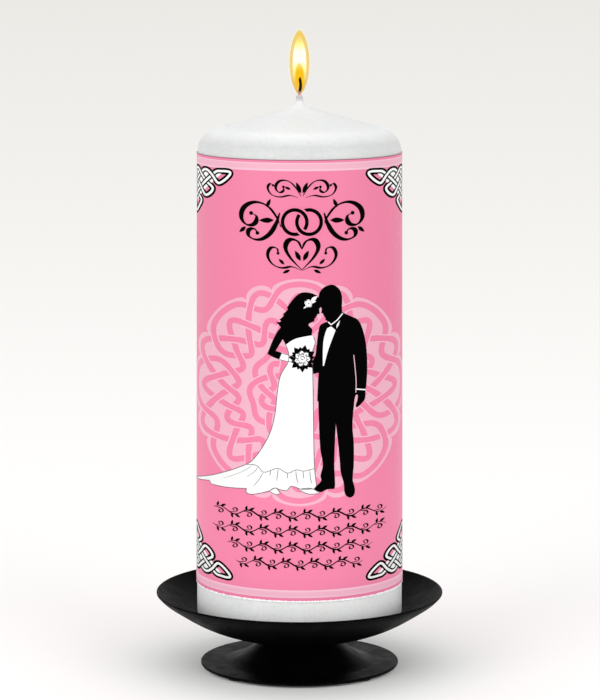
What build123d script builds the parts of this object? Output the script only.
"""Unity candle standing in a black footed dish.

A wax pillar with a printed film round it, a wick clamped in a tin foot, and a
flame, all of which lift off a holder: a cast steel dish bolted to a spun foot.
Millimetres, +Z up, the origin on the table under the middle of the foot. The
front of the print faces -Y and the lap of the film is at the back, on +Y.
"""

import os
from math import cos, radians, sin

from build123d import *

# Driving dimensions ---------------------------------------------------------

# Pillar
candle_r = 40.3  # at the base
candle_h = 201.6  # base to the peak of the dome
draft_angle = 0.31  # degrees each side, as the mould leaves it
coat_t = 1.6  # hard outer wax over the pressed core
base_round = 1.5
shoulder_drop = 19.5  # from the peak down to where the side ends

# Wick and its tin foot
wick_r = 0.75
wick_out = 9.0  # length above the peak
wick_lean = 0.45  # how far the free end wanders from the axis
tin_r = 13.0
tin_t = 0.5
tin_neck_r = 1.6
tin_neck_h = 6.0

# Printed film
film_t = 0.15
film_bottom = 13.4  # above the candle's base
film_top = 182.0
film_lap = 11.0  # degrees of overlap at the back

# Flame
flame_bottom = 1.6  # above the peak
flame_top = 28.0
flame_r = 4.15

# Holder
sheet_t = 1.0
rim_r = 56.2  # outside edge
rim_z = 30.0
seat_z = 21.0  # top of the ledge that carries the candle
ledge_out_r = 41.6
ledge_in_r = 34.0
ledge_t = 1.8  # thickness at the ledge's outer edge; the underside is one smooth curve
well_r = 28.5
well_depth = 6.0
foot_r = 38.9
brim_in_r = 29.5
neck_r = 13.0
pad_t = 1.0
pad_r = 3.6
pad_circle_r = 33.8
pad_count = 4

# Centre fastening, M5
screw_r = 2.5
screw_hole_r = 2.75
screw_len = 9.5
screw_head_r = 4.75
screw_head_h = 2.8
washer_r = 5.0
washer_t = 1.0
nut_flats = 8.0
nut_h = 4.0
recess_w = 1.1  # cross recess in the screw's head
recess_len = 4.6
recess_depth = 1.4

# Heights that follow
peak_z = seat_z + candle_h
shoulder_z = peak_z - shoulder_drop
well_z = seat_z - well_depth
foot_top_z = well_z - sheet_t
nut_face_z = foot_top_z - sheet_t - washer_t
rim_in_r = rim_r - 0.8 * sheet_t
wall_mid_r = 0.5 * (rim_in_r + ledge_out_r) + 0.6  # where the dish's wall bows out most
wall_mid_z = 0.5 * (rim_z + seat_z) - 0.6


def side_r(z):
    """Radius of the pillar's side at height z, with the draft taken off."""
    return candle_r - (z - seat_z) * sin(radians(draft_angle)) / cos(radians(draft_angle))


def wax_outline(inset):
    """Half outline of the pillar, from the foot of its side over the dome to the wick.

    inset is how far inside the outer wax it runs.
    """
    side = Line((candle_r - inset, seat_z), (side_r(shoulder_z) - inset, shoulder_z - inset))
    shoulder = Spline(
        side @ 1,
        (35.6 - inset, peak_z - 12.6 - inset),
        (29.0 - inset, peak_z - 9.7 - inset),
        tangents=[side % 1, (-1, 0.24)],
    )
    Spline(
        shoulder @ 1,
        (16.8, peak_z - 6.3 - inset),
        (6.0, peak_z - 3.2 - inset),
        (2.4, peak_z - 1.6 - inset),
        (wick_r, peak_z - inset),
        tangents=[shoulder % 1, (-0.55, 1)],
    )


# Candle ---------------------------------------------------------------------

with BuildPart() as wax_coat:
    with BuildSketch(Plane.XZ):
        with BuildLine():
            wax_outline(0)
            Line((wick_r, peak_z), (wick_r, seat_z))
            Line((wick_r, seat_z), (candle_r, seat_z))
        make_face()
    revolve(axis=Axis.Z)
    fillet(wax_coat.edges().group_by(Axis.Z)[0].sort_by(SortBy.LENGTH)[-1], base_round)
    with BuildSketch(Plane.XZ):
        with BuildLine():
            wax_outline(coat_t)
            Line((wick_r, peak_z - coat_t), (wick_r, seat_z))
            Line((wick_r, seat_z), (candle_r - coat_t, seat_z))
        make_face()
    revolve(axis=Axis.Z, mode=Mode.SUBTRACT)

with BuildPart() as wick_sustainer:
    with BuildSketch(Plane.XY.offset(seat_z)):
        Circle(tin_r)
        Circle(wick_r, mode=Mode.SUBTRACT)
    extrude(amount=tin_t)
    with BuildSketch(Plane.XY.offset(seat_z + tin_t)):
        Circle(tin_neck_r)
        Circle(wick_r, mode=Mode.SUBTRACT)
    extrude(amount=tin_neck_h)
    fillet(wick_sustainer.edges().group_by(Axis.Z)[-1].sort_by(SortBy.LENGTH)[-1], 0.3)

with BuildPart() as wax_core:
    with BuildSketch(Plane.XZ):
        with BuildLine():
            wax_outline(coat_t)
            Line((wick_r, peak_z - coat_t), (wick_r, seat_z))
            Line((wick_r, seat_z), (candle_r - coat_t, seat_z))
        make_face()
    revolve(axis=Axis.Z)
    add(wick_sustainer.part, mode=Mode.SUBTRACT)

with BuildPart() as wick:
    with BuildLine():
        wick_path = FilletPolyline(
            (0, 0, seat_z),
            (0, 0, peak_z + 0.35 * wick_out),
            (wick_lean, 0, peak_z + 0.65 * wick_out),
            (0.3 * wick_lean, 0, peak_z + wick_out),
            radius=[3.0, 3.0],
        )
    with BuildSketch(Plane.XY.offset(seat_z)):
        Circle(wick_r)
    sweep(path=wick_path.wire())

with BuildPart() as printed_film:
    with BuildSketch(Plane.XZ):
        film_z0 = seat_z + film_bottom
        film_z1 = seat_z + film_top
        with BuildLine():
            Polyline(
                (side_r(film_z0), film_z0),
                (side_r(film_z0) + film_t, film_z0),
                (side_r(film_z1) + film_t, film_z1),
                (side_r(film_z1), film_z1),
                close=True,
            )
        make_face()
    revolve(axis=Axis.Z)
    with BuildSketch(Plane.XZ.rotated((0, 0, 180 - film_lap / 2))):
        with BuildLine():
            Polyline(
                (side_r(film_z0) + film_t, film_z0),
                (side_r(film_z0) + 2 * film_t, film_z0),
                (side_r(film_z1) + 2 * film_t, film_z1),
                (side_r(film_z1) + film_t, film_z1),
                close=True,
            )
        make_face()
    revolve(axis=Axis.Z, revolution_arc=film_lap)

with BuildPart() as flame:
    hollow_r = wick_r + wick_lean + 0.15
    hollow_top = peak_z + wick_out + 0.6
    with BuildSketch(Plane.XZ):
        with BuildLine():
            Spline(
                (hollow_r + 0.25, peak_z + flame_bottom),
                (0.72 * flame_r, peak_z + flame_bottom + 4.4),
                (flame_r, peak_z + 15.4),
                (0.62 * flame_r, peak_z + 24.2),
                (0, peak_z + flame_top),
                tangents=[(0.6, 1), (-1, 0.35)],
            )
            Polyline(
                (0, peak_z + flame_top),
                (0, hollow_top),
                (hollow_r, hollow_top),
                (hollow_r, peak_z + flame_bottom),
                (hollow_r + 0.25, peak_z + flame_bottom),
            )
        make_face()
    revolve(axis=Axis.Z)

# Holder ---------------------------------------------------------------------

with BuildPart() as dish:
    with BuildSketch(Plane.XZ):
        with BuildLine():
            wall = Spline(
                (rim_in_r, rim_z),
                (wall_mid_r, wall_mid_z),
                (ledge_out_r, seat_z),
                tangents=[(-0.62, -0.78), (-1, -0.3)],
            )
            Line(wall @ 1, (ledge_in_r, seat_z))
            Line((ledge_in_r, seat_z), (well_r, well_z))
            Line((well_r, well_z), (screw_hole_r, well_z))
            Line((screw_hole_r, well_z), (screw_hole_r, well_z - sheet_t))
            Line((screw_hole_r, well_z - sheet_t), (well_r, well_z - sheet_t))
            under = Spline(
                (well_r, well_z - sheet_t),
                (ledge_out_r, seat_z - ledge_t),
                (wall_mid_r + 0.7 * sheet_t, wall_mid_z - 0.7 * sheet_t),
                (rim_r, rim_z - 0.6 * sheet_t),
                tangents=[(1, 0.3), (0.62, 0.78)],
            )
            ThreePointArc(
                under @ 1, (rim_r - 0.2 * sheet_t, rim_z + 0.1 * sheet_t), (rim_in_r, rim_z)
            )
        make_face()
    revolve(axis=Axis.Z)

with BuildPart() as foot:
    with BuildSketch(Plane.XZ):
        with BuildLine():
            Line((screw_hole_r, foot_top_z), (neck_r - 2, foot_top_z))
            flare = Spline(
                (neck_r - 2, foot_top_z),
                (neck_r + 1.2, foot_top_z - 2.6),
                (21.0, pad_t + 4.6),
                (brim_in_r, pad_t + sheet_t),
                tangents=[(1, 0), (1, -0.12)],
            )
            Line(flare @ 1, (foot_r, pad_t + sheet_t))
            Line((foot_r, pad_t + sheet_t), (foot_r, pad_t))
            Line((foot_r, pad_t), (brim_in_r - 0.2, pad_t))
            inner = Spline(
                (brim_in_r - 0.2, pad_t),
                (20.4, pad_t + 3.7),
                (neck_r + 0.2, foot_top_z - 3.2),
                (neck_r - 2.2, foot_top_z - sheet_t),
                tangents=[(-1, 0.12), (-1, 0)],
            )
            Line(inner @ 1, (screw_hole_r, foot_top_z - sheet_t))
            Line((screw_hole_r, foot_top_z - sheet_t), (screw_hole_r, foot_top_z))
        make_face()
    revolve(axis=Axis.Z)
    fillet(foot.edges().filter_by(GeomType.CIRCLE).sort_by(SortBy.RADIUS)[-2:], 0.35)

with BuildPart() as centre_screw:
    with BuildSketch(Plane.XY.offset(well_z)):
        Circle(screw_head_r)
    extrude(amount=screw_head_h)
    fillet(centre_screw.edges().group_by(Axis.Z)[-1], 1.2)
    with BuildSketch(Plane.XY.offset(well_z + screw_head_h)):
        Rectangle(recess_len, recess_w)
        Rectangle(recess_w, recess_len)
    extrude(amount=-recess_depth, mode=Mode.SUBTRACT)
    with BuildSketch(Plane.XY.offset(well_z)):
        Circle(screw_r)
    extrude(amount=-screw_len)
    chamfer(centre_screw.edges().group_by(Axis.Z)[0], 0.5)

with BuildPart() as washer:
    with BuildSketch(Plane.XY.offset(nut_face_z)):
        Circle(washer_r)
        Circle(screw_hole_r, mode=Mode.SUBTRACT)
    extrude(amount=washer_t)

with BuildPart() as centre_nut:
    with BuildSketch(Plane.XY.offset(nut_face_z)):
        RegularPolygon(nut_flats / 2, 6, major_radius=False)
        Circle(screw_r, mode=Mode.SUBTRACT)
    extrude(amount=-nut_h)

felt_pads = []
for corner in range(pad_count):
    turn = radians(45 + 360 / pad_count * corner)
    with BuildPart() as pad:
        with BuildSketch():
            with Locations((pad_circle_r * cos(turn), pad_circle_r * sin(turn))):
                Circle(pad_r)
        extrude(amount=pad_t)
    felt_pads.append(pad)

# Files ----------------------------------------------------------------------

pieces = {
    "wax_core": wax_core,
    "wax_coat": wax_coat,
    "wick": wick,
    "wick_sustainer": wick_sustainer,
    "printed_film": printed_film,
    "flame": flame,
    "dish": dish,
    "foot": foot,
    "centre_screw": centre_screw,
    "washer": washer,
    "centre_nut": centre_nut,
}
for number, pad in enumerate(felt_pads, start=1):
    pieces[f"felt_pad_{number}"] = pad

os.makedirs("parts", exist_ok=True)
for name, piece in pieces.items():
    piece.part.label = name
    export_step(piece.part, f"parts/{name}.step")
    print(name, "volume", round(piece.part.volume, 1), "mm3")
